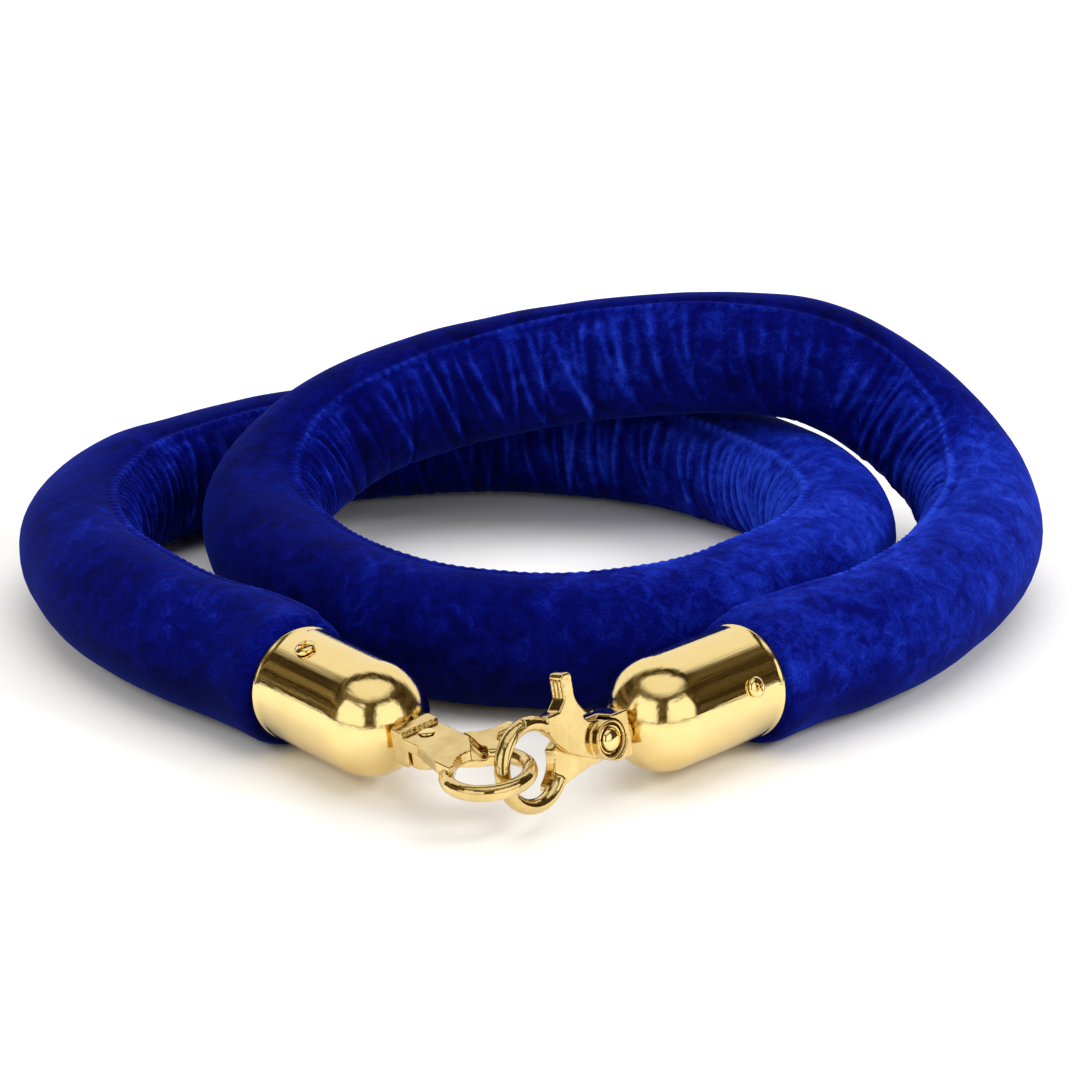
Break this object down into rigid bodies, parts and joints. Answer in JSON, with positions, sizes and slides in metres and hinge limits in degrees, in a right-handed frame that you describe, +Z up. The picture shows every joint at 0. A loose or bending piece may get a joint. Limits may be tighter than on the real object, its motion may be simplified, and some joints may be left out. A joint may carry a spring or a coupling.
{
  "type": "velvet barrier rope",
  "caption": "Blue velvet barrier rope lying in a double coil, with a gold end cap and swivel snap hook on each end, the hooks clipped together.",
  "frame": {"origin": "centre of the bounding box's footprint, on the floor", "axes": "+Z up, the shortest extent; +Y from the two hooks at the front towards the back of the coil, the longest extent; +X to the right seen from the front"},
  "size_m": [0.3067, 0.3171, 0.0768],
  "materials": {
    "velvet": "royal blue crushed velvet, soft nap",
    "foam": "soft fibre-foam filling, hidden",
    "plug_wood": "plain turned softwood, hidden",
    "gold_plate": "bright gold-coloured plate, polished",
    "spring_steel": "small plated steel parts, bright"
  },
  "bodies": {
    "rope": {"velvet_sleeve": "velvet", "foam_core": "foam", "left_end_cap": "gold_plate", "left_end_plug": "plug_wood", "left_cap_screw_1": "gold_plate", "left_cap_screw_2": "gold_plate", "right_end_cap": "gold_plate", "right_end_plug": "plug_wood", "right_cap_screw_1": "gold_plate", "right_cap_screw_2": "gold_plate"},
    "left_hook": {"left_hook_body": "gold_plate", "left_gate_rivet": "gold_plate", "left_swivel_washer": "spring_steel", "left_swivel_nut": "spring_steel"},
    "left_gate": {"left_hook_gate": "gold_plate", "left_gate_spring": "spring_steel"},
    "right_hook": {"right_hook_body": "gold_plate", "right_gate_rivet": "gold_plate", "right_swivel_washer": "spring_steel", "right_swivel_nut": "spring_steel"},
    "right_gate": {"right_hook_gate": "gold_plate", "right_gate_spring": "spring_steel"}
  },
  "joints": [
    {"name": "left_hook_swivel", "type": "hinge", "parent": "rope", "child": "left_hook", "pos_m": [-0.03241, -0.1185, 0.019], "axis": [0.6263, -0.7796, 0], "range_deg": [-8, 0]},
    {"name": "left_gate_swing", "type": "hinge", "parent": "left_hook", "child": "left_gate", "pos_m": [-0.02665, -0.12567, 0.019], "axis": [0.095, 0.0763, -0.9925], "range_deg": [0, 6], "stiffness_Nm_per_rad": 0.02, "springref_deg": -28.65},
    {"name": "right_hook_swivel", "type": "hinge", "parent": "rope", "child": "right_hook", "pos_m": [0.02487, -0.11424, 0.019], "axis": [-0.6864, -0.7273, 0], "range_deg": [-8, 6]},
    {"name": "right_gate_swing", "type": "hinge", "parent": "right_hook", "child": "right_gate", "pos_m": [0.01855, -0.12093, 0.019], "axis": [0.7114, -0.6714, 0.2079], "range_deg": [0, 6], "stiffness_Nm_per_rad": 0.02, "springref_deg": -28.65}
  ]
}
